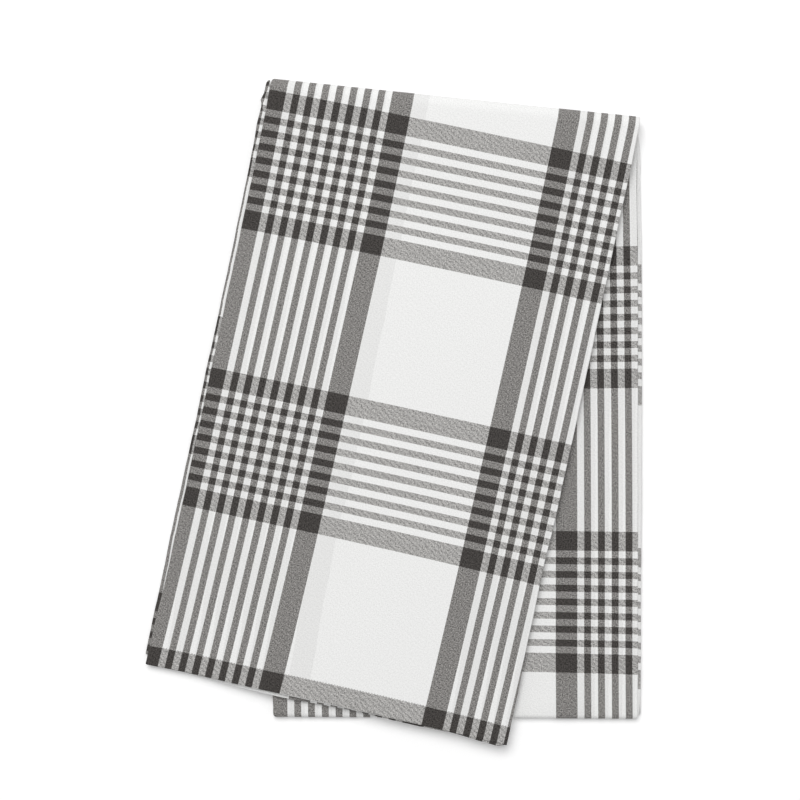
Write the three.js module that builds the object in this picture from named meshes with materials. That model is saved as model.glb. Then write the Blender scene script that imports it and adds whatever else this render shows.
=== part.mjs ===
// A check tablecloth, folded as it lies on a shop's shelf.
// The cloth is folded in four across its width, which leaves a long strip of four layers.
// The strip is folded in half along its length, and then folded over once more on a slight skew,
// so that the front flap leans across the back panel and hangs down to the surface beside it.
// Millimetres, +Z up. The back panel lies on Z = 0, the skew fold is at +Y.

import * as THREE from 'three';

// The cloth itself
const SHEET = 1.0;                        // thickness of one layer
const LAYER_GAP = 0.3;                    // air between two layers
const PITCH = SHEET + LAYER_GAP;
const STRIP_WIDTH = 364;                  // a quarter of the cloth's width
const LAYERS = 4;                         // layers in the folded strip
const HALF_STACK = PITCH * LAYERS - LAYER_GAP / 2;    // from the strip's mid plane to its outer face

// The back panel, measured from the left end of the skew fold's axis
const BACK = { leftLength: 618.9, rightLength: 583.5 };

// The skew fold is a loose round roll; its axis falls away to the right
const SKEW = THREE.MathUtils.degToRad(5.93);
const ROLL = { innerRadius: 2.1, drift: 2.25 };
const ROLL_RADIUS = ROLL.innerRadius + HALF_STACK;    // of the strip's mid plane

// The front flap, from the skew fold to its hem
const FLAP = {
  left: { length: 584, lean: 12.23 },
  right: { length: 625, lean: 12.11 },
  bow: 0.9,                               // the left edge is drawn in by this much half way down
  clearance: 0.8,                         // air between the flap and the back panel
  liftRun: 0.19,                          // share of the flap over which the roll's height dies away
};

// Beside the back panel the flap comes down to the surface
const STEP = { start: 4, run: 80 };

// Where the folds and selvedges of the strip lie, as steps from its nominal edges.
// at: 0 at the flap's hem, 1 at the skew fold, 2 at the length fold
const FRONT_HALF = [
  { at: 0.0, outerLeft: 0.0, rightFold: 1.5, innerLeft: 3.2, selvedgeA: -1.2, selvedgeB: -0.6 },
  { at: 0.5, outerLeft: 0.0, rightFold: 1.7, innerLeft: 3.8, selvedgeA: -2.2, selvedgeB: -1.0 },
  { at: 1.0, outerLeft: 1.2, rightFold: 1.8, innerLeft: 4.4, selvedgeA: -1.4, selvedgeB: -1.8 },
  { at: 1.5, outerLeft: 0.5, rightFold: -0.2, innerLeft: 4.0, selvedgeA: -2.0, selvedgeB: -2.6 },
  { at: 2.0, outerLeft: 0.3, rightFold: -0.4, innerLeft: 3.6, selvedgeA: -1.2, selvedgeB: -1.6 },
];
const REAR_HALF = [
  { at: 0.0, outerLeft: -1.0, rightFold: -1.4, innerLeft: 1.6, selvedgeA: -2.8, selvedgeB: -2.2 },
  { at: 0.2, outerLeft: -3.2, rightFold: -2.0, innerLeft: 0.2, selvedgeA: -3.0, selvedgeB: -2.4 },
  { at: 0.8, outerLeft: -4.2, rightFold: -1.8, innerLeft: 0.0, selvedgeA: -1.0, selvedgeB: -1.4 },
  { at: 1.0, outerLeft: -4.6, rightFold: -0.4, innerLeft: 0.2, selvedgeA: 2.8, selvedgeB: 2.0 },
  { at: 1.2, outerLeft: -2.0, rightFold: 0.3, innerLeft: 2.0, selvedgeA: 3.5, selvedgeB: 2.8 },
  { at: 1.9, outerLeft: -0.4, rightFold: 0.3, innerLeft: 3.2, selvedgeA: 3.3, selvedgeB: 2.4 },
  { at: 2.0, outerLeft: 0.6, rightFold: 0.2, innerLeft: 3.4, selvedgeA: 1.2, selvedgeB: 0.8 },
];

// How far each layer's hem reaches past the nominal hem line. They come together at the left corner.
const FRONT_HEM = { a: -0.8, b: 1.5, c: 0.6, d: 0.0 };
const REAR_HEM = { a: 3.6, b: 2.2, c: 1.4, d: 0.8 };
const HEM_SPREAD = 90;

// Where sections of the strip are taken, and how finely its folds are rounded
const FLAP_STATIONS = [1, 0.87, 0.74, 0.61, 0.48, 0.36, 0.25, 0.15, 0.06, 0];
const BACK_STATIONS = [0, 0.2, 0.55, 0.9, 1];
const ROLL_STEPS = 6;
const TURN_STEPS = 6;
const TIGHT_FOLD_STEPS = 3;
const WIDE_FOLD_STEPS = 4;

// Columns across the strip that all layers share
const EDGE_COLUMN = 6;
const STEP_COLUMNS = 5;
const FIELD_COLUMNS = 3;
const NARROWEST_STEP = 60;
const STEP_MARGIN = 10;

const UP = new THREE.Vector3(0, 0, 1);
const FOLD_AXIS = new THREE.Vector3(Math.cos(SKEW), -Math.sin(SKEW), 0);
const FOLD_OUTWARD = new THREE.Vector3(Math.sin(SKEW), Math.cos(SKEW), 0);

const BACK_MID = HALF_STACK;
const FLAP_MID = 3 * HALF_STACK + FLAP.clearance;
const ROLL_LIFT = BACK_MID + 2 * ROLL_RADIUS - FLAP_MID;
const STEP_HEIGHT = FLAP_MID - HALF_STACK;

const ease = (t) => THREE.MathUtils.smoothstep(t, 0, 1);

function along(start, edge) {
  const lean = THREE.MathUtils.degToRad(edge.lean);
  return start.clone().add(new THREE.Vector3(-Math.sin(lean), -Math.cos(lean), 0).multiplyScalar(edge.length));
}

// Plan corners, with the back panel's left end of the skew fold's axis as zero
const AXIS_LENGTH = STRIP_WIDTH / Math.cos(SKEW);
const backTopLeft = new THREE.Vector3(0, 0, 0);
const backTopRight = FOLD_AXIS.clone().multiplyScalar(AXIS_LENGTH);
const backEndLeft = backTopLeft.clone().setY(-BACK.leftLength);
const backEndRight = backTopRight.clone().setY(backTopRight.y - BACK.rightLength);
const flapTopLeft = backTopLeft.clone().addScaledVector(FOLD_AXIS, -ROLL.drift);
const flapTopRight = backTopRight.clone().addScaledVector(FOLD_AXIS, -ROLL.drift);
const flapEndLeft = along(flapTopLeft, FLAP.left);
const flapEndRight = along(flapTopRight, FLAP.right);
const flapDown = flapEndLeft.clone().sub(flapTopLeft).normalize();

function across(left, right, x) {
  return left.clone().lerp(right, x / STRIP_WIDTH);
}

// A flap section line, from its left edge to its right edge
function flapLine(down) {
  const left = flapTopLeft.clone().lerp(flapEndLeft, down);
  const right = flapTopRight.clone().lerp(flapEndRight, down);
  left.x += FLAP.bow * Math.sin(Math.PI * down);
  return { left, right };
}

// The flap sinks along two arcs, first away from the back panel and then onto the surface
function stepDown(x) {
  const share = THREE.MathUtils.clamp((STEP.start - x) / STEP.run, 0, 1);
  const sunk = share < 0.5 ? 2 * share ** 2 : 1 - 2 * (1 - share) ** 2;
  return STEP_HEIGHT * sunk;
}

// Columns across the strip: closer where the flap comes down beside the back panel
function sharedColumns(stepEnd) {
  const columns = [];
  for (let i = 0; i <= STEP_COLUMNS; i += 1) {
    columns.push(THREE.MathUtils.lerp(EDGE_COLUMN, stepEnd, i / STEP_COLUMNS));
  }
  for (let i = 1; i <= FIELD_COLUMNS; i += 1) {
    columns.push(THREE.MathUtils.lerp(stepEnd, STRIP_WIDTH - EDGE_COLUMN, i / FIELD_COLUMNS));
  }
  return columns;
}

// The folds and selvedges part way along a half of the cloth
function foldsAt(rows, at) {
  const next = Math.max(1, rows.findIndex((row) => row.at >= at));
  const [low, high] = [rows[next - 1], rows[next]];
  const share = (at - low.at) / (high.at - low.at);
  const mix = (name) => THREE.MathUtils.lerp(low[name], high[name], share);
  return {
    outerLeft: mix('outerLeft'),
    rightFold: mix('rightFold'),
    innerLeft: mix('innerLeft'),
    selvedgeA: mix('selvedgeA'),
    selvedgeB: mix('selvedgeB'),
  };
}

const level = { a: PITCH / 2, b: PITCH * 1.5, c: PITCH * 2.5, d: PITCH * 3.5 };
const TIGHT = PITCH / 2;
const WIDE = (level.d - level.a) / 2;

// A fold of the strip, as points on a half circle; turning is 1 anticlockwise, -1 clockwise
function foldPoints(x, centreLevel, radius, from, turning, steps, layers) {
  const points = [];
  for (let i = 0; i <= steps; i += 1) {
    const angle = from + turning * Math.PI * i / steps;
    const share = i / steps;
    points.push({
      x: x + radius * Math.cos(angle),
      n: centreLevel + radius * Math.sin(angle),
      sideX: -turning * Math.cos(angle),
      sideN: -turning * Math.sin(angle),
      layers,
      share,
    });
  }
  return points;
}

function layerPoints(columns, name, side) {
  return columns.map((x) => ({ x, n: level[name], sideX: 0, sideN: side, layers: [name, name], share: 0 }));
}

function selvedgePoint(x, name, side) {
  return { x, n: level[name], sideX: 0, sideN: side, layers: [name, name], share: 0 };
}

// The middle of the cloth through one section of the strip: layer b from its selvedge,
// then c and d, and round the outside to layer a and the other selvedge
function sectionLine(folds, columns) {
  const leftward = [...columns].reverse();
  const outer = folds.outerLeft + WIDE + SHEET / 2;
  const inner = Math.max(folds.innerLeft, folds.outerLeft + WIDE - TIGHT) + TIGHT + SHEET / 2;
  const right = STRIP_WIDTH + folds.rightFold - TIGHT - SHEET / 2;
  const quarter = Math.PI / 2;
  return [
    selvedgePoint(STRIP_WIDTH + folds.selvedgeB, 'b', -1),
    ...layerPoints(leftward, 'b', -1),
    ...foldPoints(inner, (level.b + level.c) / 2, TIGHT, -quarter, -1, TIGHT_FOLD_STEPS, ['b', 'c']),
    ...layerPoints(columns, 'c', 1),
    ...foldPoints(right, (level.c + level.d) / 2, TIGHT, -quarter, 1, TIGHT_FOLD_STEPS, ['c', 'd']),
    ...layerPoints(leftward, 'd', -1),
    ...foldPoints(outer, (level.a + level.d) / 2, WIDE, quarter, 1, WIDE_FOLD_STEPS, ['d', 'a']),
    ...layerPoints(columns, 'a', 1),
    selvedgePoint(STRIP_WIDTH + folds.selvedgeA, 'a', 1),
  ];
}

// The four ways in which the strip lies. Each gives a function from a place in the section to space.
// half is 1 for the front half of the cloth and -1 for the rear half, which lies inside it.
function flapPlace(down, half) {
  const { left, right } = flapLine(down);
  const lift = ROLL_LIFT * (1 - ease(down / FLAP.liftRun));
  return (x, n) => {
    const point = across(left, right, x);
    point.z = FLAP_MID + lift - stepDown(point.x) + half * n;
    return point;
  };
}

function rollPlace(share, half) {
  const angle = Math.PI * (share - 0.5);
  const outward = FOLD_OUTWARD.clone().multiplyScalar(Math.cos(angle)).addScaledVector(UP, Math.sin(angle));
  return (x, n) => {
    const point = across(backTopLeft, backTopRight, x);
    point.addScaledVector(FOLD_AXIS, -ROLL.drift * share);
    point.z = BACK_MID + ROLL_RADIUS;
    return point.addScaledVector(outward, ROLL_RADIUS + half * n);
  };
}

function backPlace(down, half) {
  const left = backTopLeft.clone().lerp(backEndLeft, down);
  const right = backTopRight.clone().lerp(backEndRight, down);
  return (x, n) => {
    const point = across(left, right, x);
    point.z = BACK_MID - half * n;
    return point;
  };
}

function turnPlace(share) {
  const angle = Math.PI * share;
  return (x, n) => {
    const point = across(backEndLeft, backEndRight, x);
    point.y -= n * Math.sin(angle);
    point.z = BACK_MID - n * Math.cos(angle);
    return point;
  };
}

// One section of the cloth as a closed ring: up one face of the sheet and back along the other
function ringAt(place, folds, stepEnd, hem) {
  const line = sectionLine(folds, sharedColumns(stepEnd));
  const face = (sign) => line.map((point) => {
    const x = point.x + sign * point.sideX * SHEET / 2;
    const n = point.n + sign * point.sideN * SHEET / 2;
    const spot = place(x, n);
    if (hem) {
      const [from, to] = point.layers;
      const reach = THREE.MathUtils.lerp(hem[from], hem[to], point.share) * ease(x / HEM_SPREAD);
      spot.addScaledVector(flapDown, reach);
    }
    return { spot, x };
  });
  return [...face(1), ...face(-1).reverse()];
}

function stepEndAt(down) {
  const { left, right } = flapLine(down);
  const crossing = STRIP_WIDTH * (STEP.start - left.x) / (right.x - left.x);
  return Math.max(NARROWEST_STEP, crossing + STEP_MARGIN);
}

// All rings of one half, from the flap's hem to the length fold
function halfRings(rows, half, hem) {
  const rings = [];
  for (const down of FLAP_STATIONS) {
    const folds = foldsAt(rows, 1 - down);
    rings.push(ringAt(flapPlace(down, half), folds, stepEndAt(down), down === 1 ? hem : null));
  }
  for (let i = ROLL_STEPS - 1; i > 0; i -= 1) {
    rings.push(ringAt(rollPlace(i / ROLL_STEPS, half), foldsAt(rows, 1), NARROWEST_STEP, null));
  }
  for (const down of BACK_STATIONS) {
    rings.push(ringAt(backPlace(down, half), foldsAt(rows, 1 + down), NARROWEST_STEP, null));
  }
  return rings;
}

function turnRings() {
  const [front, rear] = [foldsAt(FRONT_HALF, 2), foldsAt(REAR_HALF, 2)];
  const rings = [];
  for (let i = 1; i < TURN_STEPS; i += 1) {
    const share = i / TURN_STEPS;
    const folds = {};
    for (const name of Object.keys(front)) {
      folds[name] = THREE.MathUtils.lerp(front[name], rear[name], share);
    }
    rings.push(ringAt(turnPlace(share), folds, NARROWEST_STEP, null));
  }
  return rings;
}

// The rings are joined into one closed skin. All layers are split along the same diagonal of each
// field, so that they keep their distance where the flap bends.
function clothGeometry() {
  const frontRings = halfRings(FRONT_HALF, 1, FRONT_HEM);
  const rearRings = halfRings(REAR_HALF, -1, REAR_HEM).reverse();
  const rings = [...frontRings, ...turnRings(), ...rearRings];
  const middle = rings.length / 2;
  const size = rings[0].length;
  const triangles = [];

  for (let k = 0; k + 1 < rings.length; k += 1) {
    const towardsTurn = k + 1 < middle;
    for (let i = 0; i < size; i += 1) {
      const j = (i + 1) % size;
      const rightward = rings[k][j].x > rings[k][i].x;
      const [a, b] = [k * size + i, k * size + j];
      const [c, d] = [a + size, b + size];
      if (rightward === towardsTurn) {
        triangles.push(a, b, d, a, d, c);
      } else {
        triangles.push(a, b, c, b, d, c);
      }
    }
  }

  const last = (rings.length - 1) * size;
  for (let i = 0; i + 1 < size / 2; i += 1) {
    const opposite = size - 1 - i;
    triangles.push(i, opposite, i + 1, i + 1, opposite, opposite - 1);
    triangles.push(last + i, last + i + 1, last + opposite);
    triangles.push(last + i + 1, last + opposite - 1, last + opposite);
  }

  const positions = rings.flat().flatMap(({ spot }) => [spot.x, spot.y, spot.z]);
  const geometry = new THREE.BufferGeometry();
  geometry.setAttribute('position', new THREE.Float32BufferAttribute(positions, 3));
  geometry.setIndex(triangles);
  return geometry;
}

// The origin is the middle of the folded cloth's footprint
function centred(geometry) {
  geometry.computeBoundingBox();
  const middle = geometry.boundingBox.getCenter(new THREE.Vector3());
  return geometry.translate(-middle.x, -middle.y, -geometry.boundingBox.min.z);
}

const cotton = new THREE.MeshStandardMaterial({ color: 0xa3a19e, roughness: 0.92, metalness: 0 });
const tablecloth = new THREE.Mesh(centred(clothGeometry()), cotton);
tablecloth.name = 'tablecloth';

const part = new THREE.Group();
part.add(tablecloth);

export default part;
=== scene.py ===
# A woven check tablecloth, folded as it lies on a shop's shelf.
# Four layers across the width, folded in half along its length and once more on a slight skew.
# The cloth's own sizes are in millimetres; the mesh, the lights and the camera are in metres.

import math

import bpy
import numpy as np
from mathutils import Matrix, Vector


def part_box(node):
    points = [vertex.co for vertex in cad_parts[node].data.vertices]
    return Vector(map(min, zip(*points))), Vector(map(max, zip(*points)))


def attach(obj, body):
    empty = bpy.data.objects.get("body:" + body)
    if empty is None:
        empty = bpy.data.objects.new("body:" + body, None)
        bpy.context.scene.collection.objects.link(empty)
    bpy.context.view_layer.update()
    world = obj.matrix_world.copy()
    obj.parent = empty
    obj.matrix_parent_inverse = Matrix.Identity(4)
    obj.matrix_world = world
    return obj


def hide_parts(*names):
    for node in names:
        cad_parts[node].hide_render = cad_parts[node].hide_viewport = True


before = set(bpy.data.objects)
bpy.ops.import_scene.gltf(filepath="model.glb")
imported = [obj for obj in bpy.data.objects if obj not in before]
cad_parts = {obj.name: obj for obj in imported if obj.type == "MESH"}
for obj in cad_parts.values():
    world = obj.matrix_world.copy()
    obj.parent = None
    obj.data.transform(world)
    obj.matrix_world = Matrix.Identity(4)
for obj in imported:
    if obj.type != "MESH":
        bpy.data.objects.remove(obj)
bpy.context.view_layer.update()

MM = 0.001

# The sheet and the folded strip
SHEET = 1.0                                  # thickness of one layer
LAYER_GAP = 0.3
PITCH = SHEET + LAYER_GAP
STRIP_WIDTH = 364.0
LAYERS = "abcd"                              # from the strip's mid plane outwards
HALF_STACK = len(LAYERS) * PITCH - LAYER_GAP / 2      # from the strip's mid plane to its outer face
LEVEL = {name: (i + 0.5) * PITCH for i, name in enumerate(LAYERS)}
TIGHT = PITCH / 2                            # fold radii
WIDE = (LEVEL["d"] - LEVEL["a"]) / 2

# The back panel, the skew fold and the front flap
BACK_LEFT = 618.9
BACK_RIGHT = 583.2
SKEW = math.radians(5.93)
ROLL_INNER = 2.1                             # radius of the roll's hollow
ROLL_RADIUS = ROLL_INNER + HALF_STACK        # of the strip's mid plane
ROLL_DRIFT = 2.25
ROLL_END_PUSH = 3.5                          # the inner layers work outwards at the roll's left end
ROLL_END_START = -0.65                       # cloth to the left of this x is pushed
FLAP_LEFT = 585.4
FLAP_RIGHT = 626.6
LEAN_LEFT = math.radians(12.23)
LEAN_RIGHT = math.radians(12.11)
FLAP_BOW = 0.9                               # the left edge is drawn in by this half way down
FLAP_CLEARANCE = 0.8
LIFT_RUN = 0.19                              # share of the flap over which the roll's height dies away
STEP_START = 4.0                             # the flap comes down beside the back panel
STEP_RUN = 115.0
FLAP_MID = 3 * HALF_STACK + FLAP_CLEARANCE
ROLL_LIFT = HALF_STACK + 2 * ROLL_RADIUS - FLAP_MID
STEP_HEIGHT = FLAP_MID - HALF_STACK
TOP = 24.4                                   # height of the whole pile at the skew fold

# Folds and selvedges of the strip as steps from its nominal edges, along half of the cloth:
# 0 is the flap's hem, 1 the skew fold and 2 the length fold
FOLD_NAMES = ("at", "outer_left", "right_fold", "inner_left", "selvedge_a", "selvedge_b")
FRONT_FOLDS = (
    (0.0, -0.8, 2.5, 5.0, -1.2, -4.0),
    (0.07, -0.6, 2.2, 5.0, -1.3, -3.6),
    (0.1, -0.1, 2.0, 5.0, -1.4, -3.4),
    (0.14, 0.6, 1.6, 5.0, -1.5, -3.2),
    (0.25, 0.6, 1.2, 4.8, -1.7, -2.5),
    (0.3, 0.6, 1.4, 4.6, -1.8, -2.2),
    (0.37, 0.6, 2.5, 4.4, -2.0, -1.8),
    (0.5, 0.6, 2.7, 3.8, -2.2, -1.0),
    (0.75, 0.95, 2.7, 4.1, -1.8, -1.4),
    (0.962, 1.1, 2.3, 4.4, -1.4, -1.8),
    (0.984, 0.2, 2.2, 4.4, -1.4, -1.8),
    (1.0, 0.0, 2.1, 4.4, -1.4, -1.8),
    (1.1, 1.1, 1.4, 4.3, -1.5, -2.0),
    (1.5, 0.5, -0.2, 4.0, -2.0, -2.6),
    (2.0, 0.3, -0.4, 3.6, -1.2, -1.6),
)
REAR_FOLDS = (
    (0.0, -3.5, -1.4, 1.6, -2.8, -2.2),
    (0.06, -4.0, -1.6, 1.2, -2.9, -2.3),
    (0.1, -3.8, -1.7, 0.9, -2.9, -2.3),
    (0.14, -3.95, -1.8, 0.6, -3.0, -2.4),
    (0.2, -4.5, -2.0, 0.2, -3.0, -2.4),
    (0.3, -4.85, -2.0, 0.2, -2.7, -2.2),
    (0.4, -4.45, -1.9, 0.1, -2.3, -2.1),
    (0.5, -4.8, -1.9, 0.1, -2.0, -1.9),
    (0.65, -4.4, -1.9, 0.0, -1.5, -1.7),
    (0.8, -4.4, -1.8, 0.0, -1.0, -1.4),
    (0.87, -4.85, -1.8, 0.1, -1.0, -1.4),
    (0.91, -4.7, -1.6, 0.1, -1.0, -1.4),
    (0.94, -5.6, -1.4, 0.1, -0.8, -1.2),
    (0.957, -5.1, -1.2, 0.1, -0.6, -1.0),
    (0.97, -5.0, -1.0, 0.1, -0.4, -0.8),
    (0.976, -5.5, -0.9, 0.1, -0.3, -0.7),
    (0.983, -7.2, -0.8, 0.1, -0.2, -0.6),
    (0.992, -5.2, -0.7, 0.2, 0.0, -0.5),
    (1.0, -5.0, -0.6, 0.2, 0.4, -0.4),
    (1.03, -4.2, -0.5, 0.5, 3.4, 1.4),
    (1.14, -2.8, -0.4, 1.4, 3.8, 1.7),
    (1.2, -2.0, 0.0, 2.0, 4.8, 2.7),
    (1.3, -1.8, 0.4, 2.2, 5.0, 4.2),
    (1.4, -1.5, 0.4, 2.4, 5.0, 4.9),
    (1.65, -0.9, 0.4, 2.8, 4.7, 4.5),
    (1.75, -0.7, 0.4, 3.0, 4.1, 3.7),
    (1.95, -0.8, 0.4, 3.2, 3.8, 3.5),
    (1.975, -0.3, 0.4, 3.3, 3.7, 2.8),
    (2.0, 1.2, 0.2, 3.4, 3.4, 2.2),
)

# How far the woven check has slipped from the straight grain, along half of the cloth:
# sideways, lengthways at the strip's left edge, middle and right edge, and how much further
# lengthways the two layers with the selvedges have slipped, at the selvedges
# Not chosen by hand: both tables go back to a least-squares fit made by a separate program, which was
# rounded and then adjusted by measured offsets.
SLIP_NAMES = ("at", "sideways", "left", "middle", "right", "selvedge")
FRONT_SLIP = (
    (0.0, 3.6, -1.6, -4.8, -1.3, 0.0),
    (0.1, 2.1, -2.4, -4.9, -1.6, 0.0),
    (0.25, 0.5, -3.6, -5.0, -2.2, 0.0),
    (0.35, 0.0, -3.3, -5.0, -3.4, 0.0),
    (0.5, -0.9, -2.9, -4.9, -4.6, 0.0),
    (0.75, -2.4, -1.5, -4.6, -5.0, 0.0),
    (0.9, -2.4, -0.5, -4.3, -5.3, 0.0),
    (1.0, -2.0, -0.4, -4.1, -4.5, 0.0),
    (2.0, 0.0, 0.0, 0.0, 0.0, 14.5),
)
REAR_SLIP = (
    (0.0, 4.7, 1.4, 3.8, 0.0, 0.0),
    (0.06, 4.2, 1.3, 2.7, 0.0, 0.0),
    (0.1, 3.5, 1.2, 1.9, 0.0, 0.0),
    (0.14, 2.7, 1.1, 1.1, 0.0, 0.0),
    (0.2, 3.0, 1.0, 0.0, 0.0, 0.0),
    (0.3, 3.3, 0.8, -0.1, -0.1, 0.0),
    (0.4, 2.7, 0.6, -0.1, -0.3, 0.0),
    (0.5, 3.15, 0.4, -0.2, -0.4, 0.0),
    (0.6, 2.1, 0.1, -0.3, -0.6, 0.0),
    (0.65, 2.3, 0.0, -0.3, -0.6, 0.0),
    (0.75, 2.0, -0.2, -0.4, -0.8, 0.0),
    (0.87, 2.2, -0.4, -0.5, -1.0, 0.0),
    (0.91, 2.4, -0.7, -0.5, -1.2, 0.0),
    (0.94, 4.2, -1.3, -0.7, -2.0, 0.0),
    (0.957, 3.6, -1.6, -0.8, -2.4, 0.0),
    (0.97, 2.0, -1.9, -0.8, -2.8, 0.0),
    (0.976, 2.5, -2.0, -0.9, -2.9, 0.0),
    (0.983, 6.5, -2.2, -0.9, -3.1, 0.0),
    (0.992, 2.4, -2.3, -1.0, -3.3, 0.0),
    (1.0, 3.2, -2.5, -1.0, -3.5, 0.0),
    (1.1, 3.8, -1.0, -1.0, -4.4, 18.0),
    (1.3, 2.3, -0.8, -0.8, -3.7, 17.6),
    (1.5, 1.2, -2.4, -2.6, -3.0, 17.0),
    (1.7, 0.7, -3.1, -3.9, -2.0, 16.0),
    (1.9, 0.9, -3.1, -4.3, -0.7, 15.0),
    (2.0, 0.5, -3.7, -4.9, -0.5, 14.5),
)

# How far each layer's hem reaches past the nominal hem line, at x from the strip's left edge
HEM_NAMES = ("x", *LAYERS)
FRONT_HEM = (
    (0.0, -1.6, -1.5, -1.4, -0.8),
    (45.0, -2.6, -2.6, -2.4, -1.9),
    (135.0, -3.6, -3.6, -3.2, -2.9),
    (205.0, -3.6, -3.6, -3.4, -3.1),
    (222.0, -3.2, -1.1, -3.2, -3.0),
    (285.0, -2.8, -0.6, -2.8, -2.7),
    (312.0, -2.4, -1.5, -1.8, -2.2),
    (357.0, -1.8, -2.0, 2.0, -1.6),
    (364.0, -1.4, -2.0, -1.4, -1.4),
)
REAR_HEM = (
    (0.0, -10.0, -9.0, -9.0, -10.0),
    (45.0, -0.1, -3.0, -3.0, -4.0),
    (95.0, 0.5, -3.0, -3.0, -4.0),
    (145.0, 1.2, -4.0, -4.0, -4.5),
    (172.0, -0.2, -4.0, -4.0, -4.5),
    (227.0, -2.1, -4.0, -4.0, -4.5),
    (260.0, -3.5, -4.0, -4.0, -4.5),
    (364.0, -4.6, -3.5, -3.0, -3.0),
)
HEM_PULL = 60.0                              # how far from the hem the cloth gives to it

# The cloth laid flat: its width runs from one selvedge to the other, its length from hem to hem
LENGTH_FOLD = 1248.0                         # from the front hem
REAR_HEM_AT = 2498.0                         # both halves' slack is counted in
TURN_HALF = 7.15
ROLL_TAKE_UP = 36.8                          # length of cloth that goes round the skew fold
HEM_BAND = 17.2
HEM_EDGE = 1.5                               # the extra thickness comes in over this length
HEM_EXTRA = 0.14                             # the hem's extra thickness, as a share

# How finely the mesh is laid out
LEFT_COLUMNS = np.linspace(10.0, 198.0, 17)
RIGHT_COLUMNS = np.linspace(218.0, STRIP_WIDTH - 6.0, 8)
COLUMNS = np.concatenate([LEFT_COLUMNS, RIGHT_COLUMNS])
FLAP_END = [1.0, 0.9993]
FLAP_RUN = np.linspace(0.997, 0.06, 78)
FLAP_TOP = np.linspace(0.054, 0.0, 10)
FLAP_STATIONS = np.concatenate([FLAP_END, FLAP_RUN, FLAP_TOP])
ROLL_STATIONS = np.linspace(1.0, 0.0, 17)[1:-1]
BACK_STATIONS = np.linspace(0.0, 1.0, 50)
TURN_STATIONS = np.linspace(0.0, 1.0, 11)[1:-1]
TIGHT_STEPS = 6
WIDE_STEPS = 10
FOLD_LEAD = 1.5                              # flat cloth on either side of the outer fold
LIP = 0.4                                    # selvedges and hems are rounded over this length
LIP_THICKNESS = 0.45
SELVEDGE_DROOP = 0.45                        # for each millimetre past the right fold
LIP_DROOP = 0.95                             # share of the droop where the lip begins
DROOP_START = 1.5                            # from the strip's right edge

# Slow waves in the cloth: wavelength along x, along y, phase, height
WAVES = (
    (310.0, 190.0, 0.4, 0.26),
    (-170.0, 240.0, 2.1, 0.18),
    (120.0, -140.0, 4.0, 0.10),
)
# Unevenness of the folded edges: wavelength, phase, size
EDGE_WAVES = ((83.0, 0.3, 0.14), (37.0, 1.9, 0.09), (19.0, 4.4, 0.05))
EDGE_RUN = 600.0                             # length of edge for each step of 1 along the tables
EDGE_SHIFT = 131.0                           # keeps the edges from wavering alike

FOLD_AXIS = np.array([math.cos(SKEW), -math.sin(SKEW), 0.0])
FOLD_OUTWARD = np.array([math.sin(SKEW), math.cos(SKEW), 0.0])
UP = np.array([0.0, 0.0, 1.0])


def ease(t):
    t = np.clip(t, 0.0, 1.0)
    return t * t * (3.0 - 2.0 * t)


def mix(low, high, share):
    return low + (high - low) * share


def along(start, lean, length):
    return start + np.array([-math.sin(lean), -math.cos(lean), 0.0]) * length


AXIS_LENGTH = STRIP_WIDTH / math.cos(SKEW)
BACK_TOP_LEFT = np.zeros(3)
BACK_TOP_RIGHT = FOLD_AXIS * AXIS_LENGTH
BACK_END_LEFT = BACK_TOP_LEFT - np.array([0.0, BACK_LEFT, 0.0])
BACK_END_RIGHT = BACK_TOP_RIGHT - np.array([0.0, BACK_RIGHT, 0.0])
FLAP_TOP_LEFT = BACK_TOP_LEFT - FOLD_AXIS * ROLL_DRIFT
FLAP_TOP_RIGHT = BACK_TOP_RIGHT - FOLD_AXIS * ROLL_DRIFT
FLAP_END_LEFT = along(FLAP_TOP_LEFT, LEAN_LEFT, FLAP_LEFT)
FLAP_END_RIGHT = along(FLAP_TOP_RIGHT, LEAN_RIGHT, FLAP_RIGHT)
FLAP_DOWN = (FLAP_END_LEFT - FLAP_TOP_LEFT) / FLAP_LEFT
BACK_END_Y = (BACK_END_LEFT[1] + BACK_END_RIGHT[1]) / 2


# Where the strip lies. Each place turns x across the strip and n, the height over its mid plane,
# into points, and gives how far along the cloth they are.

def spread(left, right, x):
    return mix(left, right, (x / STRIP_WIDTH)[:, None])


def step_down(x):
    share = np.clip((STEP_START - x) / STEP_RUN, 0.0, 1.0)
    return STEP_HEIGHT * np.where(share < 0.5, 2 * share**2, 1 - 2 * (1 - share) ** 2)


def flap_length(x):
    return mix(FLAP_LEFT, FLAP_RIGHT, x / STRIP_WIDTH)


def rear_back_length(points):
    return LENGTH_FOLD + TURN_HALF + points[:, 1] - BACK_END_Y


def flap_place(down, front):
    side = 1.0 if front else -1.0
    left = mix(FLAP_TOP_LEFT, FLAP_END_LEFT, down)
    right = mix(FLAP_TOP_RIGHT, FLAP_END_RIGHT, down)
    left = left + np.array([FLAP_BOW * math.sin(math.pi * down), 0.0, 0.0])
    lift = ROLL_LIFT * (1 - ease(down / LIFT_RUN))

    def place(x, n):
        points = spread(left, right, x)
        points[:, 2] = FLAP_MID + lift - step_down(points[:, 0]) + side * n
        reach = flap_length(x) * (1 - down)
        return points, reach if front else REAR_HEM_AT - reach

    return place


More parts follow.
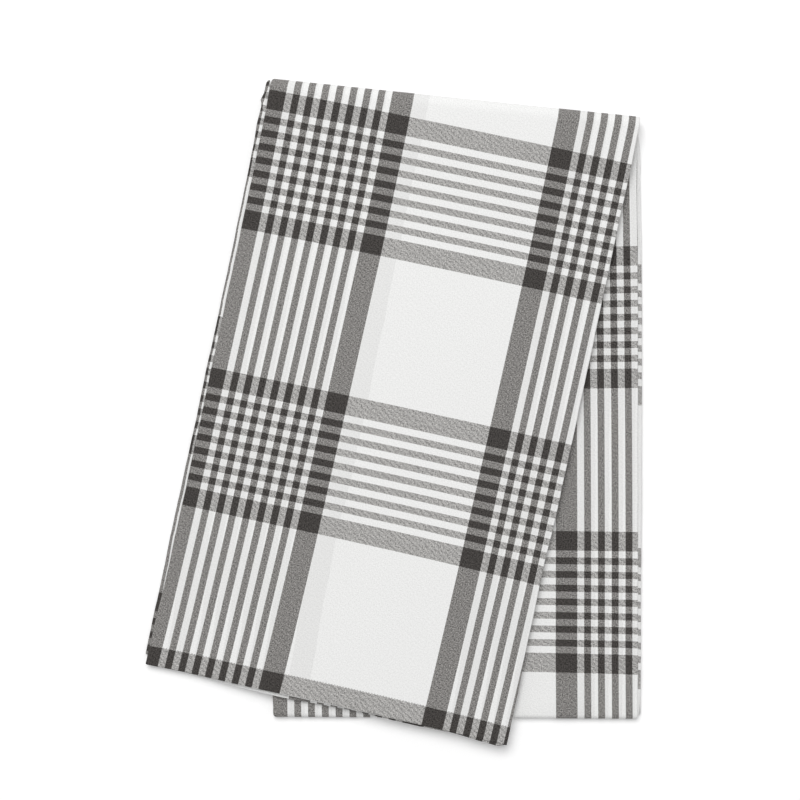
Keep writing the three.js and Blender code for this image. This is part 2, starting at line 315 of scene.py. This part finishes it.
def roll_place(share, front):
    side = 1.0 if front else -1.0
    angle = math.pi * (share - 0.5)
    outward = FOLD_OUTWARD * math.cos(angle) + UP * math.sin(angle)

    def place(x, n):
        points = spread(BACK_TOP_LEFT, BACK_TOP_RIGHT, x)
        if front:
            reach = flap_length(x) + ROLL_TAKE_UP * (1 - share)
        else:
            reach = mix(rear_back_length(points), REAR_HEM_AT - flap_length(x), share)
        points = points - FOLD_AXIS * (ROLL_DRIFT * share)
        points[:, 2] = HALF_STACK + ROLL_RADIUS
        points = points + outward * (ROLL_RADIUS + side * n)[:, None]
        if not front:
            push = ROLL_END_PUSH * math.cos(angle) * np.clip((ROLL_END_START - x) / FOLD_LEAD, 0.0, 1.0)
            points = points + FOLD_OUTWARD * push[:, None]
        return points, reach

    return place


def back_place(down, front):
    side = 1.0 if front else -1.0
    left = mix(BACK_TOP_LEFT, BACK_END_LEFT, down)
    right = mix(BACK_TOP_RIGHT, BACK_END_RIGHT, down)

    def place(x, n):
        points = spread(left, right, x)
        points[:, 2] = HALF_STACK - side * n
        if front:
            reach = mix(flap_length(x) + ROLL_TAKE_UP, LENGTH_FOLD - TURN_HALF, down)
        else:
            reach = rear_back_length(points)
        return points, reach

    return place


def turn_place(share):
    angle = math.pi * share

    def place(x, n):
        points = spread(BACK_END_LEFT, BACK_END_RIGHT, x)
        reach = mix(LENGTH_FOLD - TURN_HALF, rear_back_length(points), share)
        points[:, 1] -= n * math.sin(angle)
        points[:, 2] = HALF_STACK - n * math.cos(angle)
        return points, reach

    return place


# One section across the folded strip

def edge_wave(station, shift):
    s = station * EDGE_RUN + shift
    return sum(size * math.sin(2 * math.pi * s / wave + phase) for wave, phase, size in EDGE_WAVES)


def table_at(rows, names, at):
    """A row of a table part way between the rows that it holds, by name."""
    marks = [row[0] for row in rows]
    return {name: np.interp(at, marks, [row[i] for row in rows]) for i, name in enumerate(names)}


def folds_at(rows, at):
    """The folds and selvedges part way along a half of the cloth."""
    found = table_at(rows, FOLD_NAMES, at)
    del found["at"]
    return {name: step + edge_wave(at, EDGE_SHIFT * i) for i, (name, step) in enumerate(found.items())}


def slip_along(slip, x, run):
    """How far the check has slipped along the cloth, on a smooth bow through three places."""
    side = 2 * x / STRIP_WIDTH - 1
    bend = (slip["left"] + slip["right"]) / 2 - slip["middle"]
    tilt = (slip["right"] - slip["left"]) / 2
    loose = np.clip(2 - mix(run["from"], run["to"], run["share"]), 0.0, 1.0)
    loose = slip["selvedge"] * loose * x / STRIP_WIDTH
    return slip["middle"] + tilt * side + bend * side**2 + loose


class Line:
    """The middle of the cloth through one section, from selvedge b to selvedge a."""

    def __init__(self):
        self.runs = []
        self.at = {}

    def add(self, x, n, side_x, side_n, layers, share=0.0, thick=1.0):
        x = np.atleast_1d(np.asarray(x, float))
        start = sum(len(run["x"]) for run in self.runs)
        run = {"x": x}
        for name, value in (
            ("n", n),
            ("side_x", side_x),
            ("side_n", side_n),
            ("share", share),
            ("thick", thick),
            ("from", LAYERS.index(layers[0])),
            ("to", LAYERS.index(layers[1])),
        ):
            run[name] = np.broadcast_to(np.asarray(value, float), x.shape).copy()
        self.runs.append(run)
        return slice(start, start + len(x))

    def layer(self, name, columns, side):
        self.at[name] = self.add(columns, LEVEL[name], 0.0, side, name * 2)

    def selvedge(self, name, folds, side, first):
        """The cloth's edge, which droops where it reaches past the fold that lies on it."""
        x = STRIP_WIDTH + folds["selvedge_" + name]
        droop = SELVEDGE_DROOP * max(0.0, folds["selvedge_" + name] - folds["right_fold"])
        xs = [x, x - LIP, min(x - 2 * LIP, STRIP_WIDTH - DROOP_START)]
        levels = [LEVEL[name] - droop, LEVEL[name] - droop * LIP_DROOP, LEVEL[name]]
        thick = [LIP_THICKNESS, 1.0, 1.0]
        order = slice(None, None, 1 if first else -1)
        self.add(xs[order], levels[order], 0.0, side, name * 2, 0.0, thick[order])

    def fold(self, x, centre, radius, start, turning, steps, layers):
        share = np.linspace(0.0, 1.0, steps + 1)
        angle = start + turning * math.pi * share
        cos, sin = np.cos(angle), np.sin(angle)
        self.add(x + radius * cos, centre + radius * sin, -turning * cos, -turning * sin, layers, share)

    def joined(self):
        return {name: np.concatenate([run[name] for run in self.runs]) for name in self.runs[0]}


def section(folds):
    line = Line()
    leftward = COLUMNS[::-1]
    quarter = math.pi / 2
    outer = folds["outer_left"] + WIDE + SHEET / 2
    inner = max(folds["inner_left"], folds["outer_left"] + WIDE - TIGHT) + TIGHT + SHEET / 2
    right = STRIP_WIDTH + folds["right_fold"] - TIGHT - SHEET / 2
    line.selvedge("b", folds, -1.0, True)
    line.layer("b", leftward, -1.0)
    line.fold(inner, (LEVEL["b"] + LEVEL["c"]) / 2, TIGHT, -quarter, -1, TIGHT_STEPS, "bc")
    line.layer("c", COLUMNS, 1.0)
    line.fold(right, (LEVEL["c"] + LEVEL["d"]) / 2, TIGHT, -quarter, 1, TIGHT_STEPS, "cd")
    line.layer("d", leftward, -1.0)
    line.add(outer + FOLD_LEAD, LEVEL["d"], 0.0, -1.0, "dd")
    line.fold(outer, (LEVEL["a"] + LEVEL["d"]) / 2, WIDE, quarter, 1, WIDE_STEPS, "da")
    line.add(outer + FOLD_LEAD, LEVEL["a"], 0.0, 1.0, "aa")
    line.layer("a", COLUMNS, 1.0)
    line.selvedge("a", folds, 1.0, False)
    return line


def widths(line, run, drift):
    """How far across the cloth each point of the section is, and the layer that lies next to it."""
    step = np.hypot(np.diff(run["x"]), np.diff(run["n"]))
    walked = np.concatenate([[0.0], np.cumsum(step)])
    known = line.at["d"].start
    across = STRIP_WIDTH + drift + run["x"][known] + walked[known] - walked
    beneath = across.copy()
    for name, other in (("a", "b"), ("b", "a"), ("c", "d"), ("d", "c")):
        beneath[line.at[name]] = across[line.at[other]][::-1]
    return across, beneath


def hem_past(front, run):
    """How far past the nominal hem line each point of a hem is, and the layer that shows there."""
    found = table_at(FRONT_HEM if front else REAR_HEM, HEM_NAMES, run["x"])
    ends = np.array([found[name] for name in LAYERS])
    here = np.arange(len(run["x"]))
    first, second = run["from"].astype(int), run["to"].astype(int)
    shown = ends[LAYERS.index("d" if front else "a")]
    return mix(ends[first, here], ends[second, here], run["share"]), shown


def hem_share(reach):
    """1 on the turned hems, 0 on the cloth between them."""
    front = np.clip((HEM_BAND - reach) / HEM_EDGE, 0.0, 1.0)
    rear = np.clip((reach - (REAR_HEM_AT - HEM_BAND)) / HEM_EDGE, 0.0, 1.0)
    return np.maximum(front, rear)


def waves(points):
    """Slow unevenness of the pile: more at the top, none where it lies on the surface."""
    lift = np.zeros(len(points))
    for wave_x, wave_y, phase, height in WAVES:
        lift += height * np.sin(2 * math.pi * (points[:, 0] / wave_x + points[:, 1] / wave_y) + phase)
    return lift * points[:, 2] / TOP


def ring(place, folds, slip, front=True, pull=0.0, thick=1.0):
    """One section as a closed ring: up one face of the sheet and back along the other."""
    line = section(folds)
    run = line.joined()
    across, beneath = widths(line, run, slip["sideways"])
    _, middle_reach = place(run["x"], run["n"])
    half = SHEET / 2 * run["thick"] * thick * (1 + HEM_EXTRA * hem_share(middle_reach))
    faces = []
    for sign in (1.0, -1.0):
        x = run["x"] + sign * run["side_x"] * half
        n = run["n"] + sign * run["side_n"] * half
        points, reach = place(x, n)
        if pull:
            past, shown = hem_past(front, run)
            points = points + FLAP_DOWN * (past * pull)[:, None]
            reach = reach - shown * pull if front else reach + shown * pull
        reach = reach + slip_along(slip, x, run)
        points[:, 2] += waves(points)
        faces.append((points, reach, across, beneath))
    face, rear_face = faces
    return [np.concatenate([first, second[::-1]]) for first, second in zip(face, rear_face)]


def slip_at(front, at):
    return table_at(FRONT_SLIP if front else REAR_SLIP, SLIP_NAMES, at)


def half_rings(rows, front):
    rings = []
    for down in FLAP_STATIONS:
        at = 1 - down
        pull = max(0.0, 1 - at * FLAP_LEFT / HEM_PULL)
        thick = LIP_THICKNESS if down == 1.0 else 1.0
        place = flap_place(down, front)
        rings.append(ring(place, folds_at(rows, at), slip_at(front, at), front, pull, thick))
    for share in ROLL_STATIONS:
        rings.append(ring(roll_place(share, front), folds_at(rows, 1.0), slip_at(front, 1.0)))
    for down in BACK_STATIONS:
        at = 1 + down
        rings.append(ring(back_place(down, front), folds_at(rows, at), slip_at(front, at)))
    return rings


def turn_rings():
    def turned(front, rear, share):
        return {name: mix(front[name], rear[name], share) for name in front}

    folds = folds_at(FRONT_FOLDS, 2.0), folds_at(REAR_FOLDS, 2.0)
    slips = slip_at(True, 2.0), slip_at(False, 2.0)
    return [
        ring(turn_place(share), turned(*folds, share), turned(*slips, share))
        for share in TURN_STATIONS
    ]


def sheet_faces(size, count):
    """The faces between rings, and those that close the first ring and the last."""
    here = np.arange(size)
    after = (here + 1) % size
    start = (np.arange(count - 1) * size)[:, None]
    skin = np.stack([start + here, start + after, start + size + after, start + size + here], -1)
    faces = skin.reshape(-1, 4).tolist()
    last = (count - 1) * size
    for i in range(size // 2 - 1):
        opposite = size - 1 - i
        faces.append([i, opposite, opposite - 1, i + 1])
        faces.append([last + i, last + i + 1, last + opposite - 1, last + opposite])
    return faces


def tablecloth():
    rings = half_rings(FRONT_FOLDS, True)
    rings += turn_rings()
    rings += half_rings(REAR_FOLDS, False)[::-1]
    points, reach, across, beneath = (np.concatenate(part) for part in zip(*rings))

    # The cloth goes where its solid is
    low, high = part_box("tablecloth")
    middle = (points.min(0) + points.max(0)) / 2
    points = points * MM
    points[:, 0] += (low.x + high.x) / 2 - middle[0] * MM
    points[:, 1] += (low.y + high.y) / 2 - middle[1] * MM
    points[:, 2] += low.z - points[:, 2].min()

    faces = sheet_faces(len(rings[0][0]), len(rings))
    mesh = bpy.data.meshes.new("tablecloth_cotton")
    mesh.from_pydata(points.tolist(), [], faces)
    mesh.polygons.foreach_set("use_smooth", [True] * len(mesh.polygons))
    corners = np.empty(len(mesh.loops), int)
    mesh.loops.foreach_get("vertex_index", corners)
    plan = mesh.uv_layers.new(name="cloth_plan")
    flat = np.stack([across * MM, reach * MM], -1)
    plan.data.foreach_set("uv", flat[corners].astype(np.float32).ravel())
    under = mesh.attributes.new("beneath", "FLOAT", "POINT")
    under.data.foreach_set("value", (beneath * MM).astype(np.float32))
    mesh.validate()
    mesh.update()
    cloth = bpy.data.objects.new("check_tablecloth", mesh)
    bpy.context.scene.collection.objects.link(cloth)
    return cloth


# Materials

class Value:
    """A socket that adds Math nodes when it is used in an expression."""

    def __init__(self, finish, socket):
        self.finish = finish
        self.socket = socket

    def math(self, operation, *others, clamp=False):
        values = {i: value for i, value in enumerate((self, *others))}
        return self.finish.node("ShaderNodeMath", {"operation": operation, "use_clamp": clamp}, values)

    def __add__(self, other):
        return self.math("ADD", other)

    def __sub__(self, other):
        return self.math("SUBTRACT", other)

    def __mul__(self, other):
        return self.math("MULTIPLY", other)

    def __truediv__(self, other):
        return self.math("DIVIDE", other)

    def __rsub__(self, other):
        return self.finish.number(other) - self

    __radd__ = __add__
    __rmul__ = __mul__


class Finish:
    """The nodes of a material, or of the world, ending in one shader."""

    def __init__(self, owner, shader="Principled BSDF"):
        owner.use_nodes = True
        self.tree = owner.node_tree
        self.shader = self.tree.nodes[shader]

    def link(self, value, socket):
        if isinstance(value, Value):
            self.tree.links.new(value.socket, socket)
        else:
            socket.default_value = value

    def node(self, kind, settings, inputs, output=0):
        made = self.tree.nodes.new(kind)
        for name, value in settings.items():
            setattr(made, name, value)
        for name, value in inputs.items():
            self.link(value, made.inputs[name])
        return Value(self, made.outputs[output])

    def number(self, value):
        if isinstance(value, Value):
            return value
        return self.node("ShaderNodeMath", {"operation": "ADD"}, {0: value, 1: 0.0})

    def blend(self, share, low, high):
        inputs = {"Factor": share, 6: low, 7: high}
        return self.node("ShaderNodeMix", {"data_type": "RGBA"}, inputs, 2)

    def vector(self, x, y):
        return self.node("ShaderNodeCombineXYZ", {}, {"X": x, "Y": y})

    def noise(self, place):
        inputs = {"Vector": place, "Scale": 1.0, "Detail": 0.0}
        return self.node("ShaderNodeTexNoise", {"noise_dimensions": "2D"}, inputs)


def srgb(*levels):
    """A colour as it looks, from 0 to 255, in the renderer's linear numbers."""
    parts = [level / 255 for level in levels]
    linear = [p / 12.92 if p <= 0.04045 else ((p + 0.055) / 1.055) ** 2.4 for p in parts]
    return (*linear, 1.0)


# The woven check, in metres: groups of narrow stripes between two wide ones, dark on white
NARROW_COUNT = 15
WARP = {"start": 0.0688, "period": 0.2892, "wide": 0.02145, "narrow": 0.006865}
WEFT = {"start": 0.1604, "period": 0.2832, "wide": 0.0193, "narrow": 0.00681}
STRIPE_EDGE = 0.0004
THREAD = 0.00045                             # from one thread to the next
THREAD_CONTRAST = 0.25
TWILL = 4                                    # threads in one repeat of the twill
TWILL_UP = 0.49                              # share of it in which the warp lies on top
SHOW_THROUGH = 0.1
STITCH_LINE = 0.0183                         # from the hem's edge
STITCH = 0.0029                              # from one stitch to the next
STITCH_WIDTH = 0.0009
STITCH_SHADE = 0.5
WALE = 0.0041
WALE_LENGTH = 0.0045
WALE_SWAY = 0.0045
SWAY_DEPTH = 0.8
SLANT = (0.53, 0.85)                         # direction across the wales
WALE_DEPTH = 0.08                            # doubled where only the weft is dark
SPECK = 0.00115
SPECK_DEPTH = 1.7
SPECK_LOSS = 0.4                             # where only the weft is dark
WHITE_MOTTLE = 0.12                          # share of the mottling that white cloth shows
THREAD_RELIEF = 0.00002
SPECK_RELIEF = 0.00012

CHARCOAL = srgb(67, 64, 62)
DARK_WARP = srgb(133.5, 131.3, 129)
DARK_WEFT = srgb(168.5, 167, 165)
WHITE = srgb(239, 239, 238)


def stripes(place, yarn):
    """1 where the yarn is dark, 0 where it is white, across a repeating group of stripes."""
    narrow, wide, period = yarn["narrow"], yarn["wide"], yarn["period"]
    run = narrow * NARROW_COUNT / 2
    centre = yarn["start"] + wide + run
    turn = (place - centre) / period + 0.5
    off = (turn.math("FRACT") - 0.5).math("ABSOLUTE") * period
    wave = (off * (math.pi / narrow)).math("COSINE")
    fine = (wave * (narrow / math.pi / STRIPE_EDGE)).math("ADD", 0.5, clamp=True)
    beyond = ((off - run) / STRIPE_EDGE).math("ADD", 0.5, clamp=True)
    inside = ((run + wide - off) / STRIPE_EDGE).math("ADD", 0.5, clamp=True)
    return fine.math("MAXIMUM", beyond) * inside


def check_cotton():
    cotton = bpy.data.materials.new("check_cotton")
    finish = Finish(cotton)
    plan = finish.node("ShaderNodeUVMap", {"uv_map": "cloth_plan"}, {})
    across = finish.node("ShaderNodeSeparateXYZ", {}, {0: plan}, 0)
    lengthways = finish.node("ShaderNodeSeparateXYZ", {}, {0: plan}, 1)
    beneath = finish.node("ShaderNodeAttribute", {"attribute_name": "beneath"}, {}, 2)

    warp = stripes(across, WARP)
    weft = stripes(lengthways, WEFT)
    warp_below = stripes(beneath, WARP)
    dark = warp.math("MAXIMUM", weft)
    weft_alone = weft * (1 - warp)

    # A twill: each warp thread passes over two weft threads and under two
    warp_thread = across / THREAD
    weft_thread = lengthways / THREAD
    step = (warp_thread.math("FLOOR") + weft_thread.math("FLOOR")) / TWILL
    warp_up = step.math("FRACT").math("LESS_THAN", TWILL_UP)
    warp_round = (warp_thread.math("FRACT") * math.pi).math("SINE")
    weft_round = (weft_thread.math("FRACT") * math.pi).math("SINE")
    thread_height = weft_round + (warp_round - weft_round) * warp_up

    plain = finish.blend(warp, WHITE, DARK_WARP)
    crossed = finish.blend(warp, DARK_WEFT, CHARCOAL)
    woven = finish.blend(weft, plain, crossed)

    # Dark threads stand out among the white ones where the two cross
    mixed = dark - warp * weft
    dark_up = weft + (warp - weft) * warp_up
    threads = (0.5 - dark_up) * mixed * THREAD_CONTRAST

    # A line of grey stitches holds each hem down
    hem = lengthways.math("MINIMUM", REAR_HEM_AT * MM - lengthways)
    near = ((hem - STITCH_LINE).math("ABSOLUTE") / STITCH_WIDTH).math("LESS_THAN", 0.5)
    stitch = near * (across / STITCH).math("FRACT").math("LESS_THAN", 0.5)
    woven = finish.blend(stitch * STITCH_SHADE, woven, DARK_WARP)

    # The layer beneath shows faintly through white cloth
    through = warp_below * (1 - dark) * SHOW_THROUGH
    woven = finish.blend(through, woven, DARK_WARP)

    # Mottling, strongest where white and dark yarns cross: wales that come and go along the
    # twill's diagonal, and a finer speckle
    slant_long = (across * SLANT[1] - lengthways * SLANT[0]) / WALE_LENGTH
    slant_wide = across * SLANT[0] + lengthways * SLANT[1]
    sway = finish.noise(finish.vector(slant_long, slant_wide / WALE_SWAY)) - 0.5
    wale = ((slant_wide / WALE + sway * SWAY_DEPTH) * (2 * math.pi)).math("SINE")
    speck = finish.noise(finish.vector(across / SPECK, lengthways / SPECK)) - 0.5
    wale_depth = weft_alone * WALE_DEPTH + WALE_DEPTH
    mottle = wale * wale_depth + speck * (SPECK_DEPTH - weft_alone * SPECK_LOSS)
    shade = mottle * (dark * (1 - WHITE_MOTTLE) + WHITE_MOTTLE) + threads + 1
    scaled = finish.node("ShaderNodeVectorMath", {"operation": "SCALE"}, {0: woven, "Scale": shade})
    finish.link(scaled, finish.shader.inputs["Base Color"])
    finish.shader.inputs["Roughness"].default_value = 0.9
    finish.shader.inputs["Specular IOR Level"].default_value = 0.2

    height = thread_height * THREAD_RELIEF + speck * SPECK_RELIEF
    bump = finish.node("ShaderNodeBump", {}, {"Strength": 0.6, "Distance": 1.0, "Height": height})
    finish.link(bump, finish.shader.inputs["Normal"])
    return cotton


# The stage
SKY_LEVEL = 0.4                              # the light from all round; the camera sees it as white
FLOOR_GLOW = 0.088                           # keeps the floor white to its far corners
FLOOR_SIZE = 6.0
FLOOR_DROP = 0.0004
WINDOW_PLACE = (-0.93, 2.56, 5.7)
WINDOW_SIZE = 3.6
WINDOW_POWER = 281.0
CAMERA_PLACE = (0.006315, 0.011756, 1.743)
CAMERA_LENS = 78.25


def floor():
    bpy.ops.mesh.primitive_plane_add(size=FLOOR_SIZE, location=(0.0, 0.0, -FLOOR_DROP))
    plane = bpy.context.object
    plane.name = "floor"
    pale = bpy.data.materials.new("pale_floor")
    finish = Finish(pale)
    finish.shader.inputs["Base Color"].default_value = (1.0, 1.0, 1.0, 1.0)
    finish.shader.inputs["Roughness"].default_value = 1.0
    finish.shader.inputs["Specular IOR Level"].default_value = 0.0
    seen = finish.node("ShaderNodeLightPath", {}, {}, "Is Camera Ray")
    finish.link(seen * FLOOR_GLOW, finish.shader.inputs["Emission Color"])
    finish.shader.inputs["Emission Strength"].default_value = 1.0
    plane.data.materials.append(pale)


def window():
    """One broad soft lamp, turned to the middle of the cloth."""
    lamp = bpy.data.lights.new("window", "AREA")
    lamp.shape = "SQUARE"
    lamp.size = WINDOW_SIZE
    lamp.energy = WINDOW_POWER
    holder = bpy.data.objects.new("window", lamp)
    bpy.context.scene.collection.objects.link(holder)
    holder.location = WINDOW_PLACE
    direction = -np.array(WINDOW_PLACE)
    holder.rotation_euler = (
        math.atan2(math.hypot(direction[0], direction[1]), -direction[2]),
        0.0,
        math.atan2(direction[1], direction[0]) - math.pi / 2,
    )


def studio():
    scene = bpy.context.scene
    world = bpy.data.worlds.new("studio")
    scene.world = world
    sky = Finish(world, "Background")
    seen = sky.node("ShaderNodeLightPath", {}, {}, "Is Camera Ray")
    sky.link(seen * (1 - SKY_LEVEL) + SKY_LEVEL, sky.shader.inputs["Color"])
    sky.shader.inputs["Strength"].default_value = 1.0
    window()
    scene.view_settings.view_transform = "Standard"


def camera():
    lens = bpy.data.cameras.new("camera")
    lens.lens = CAMERA_LENS
    lens.sensor_width = 36.0
    holder = bpy.data.objects.new("camera", lens)
    bpy.context.scene.collection.objects.link(holder)
    holder.location = CAMERA_PLACE
    bpy.context.scene.camera = holder


camera()
studio()
floor()
cloth = tablecloth()
cloth.data.materials.append(check_cotton())
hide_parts("tablecloth")
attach(cloth, "root")
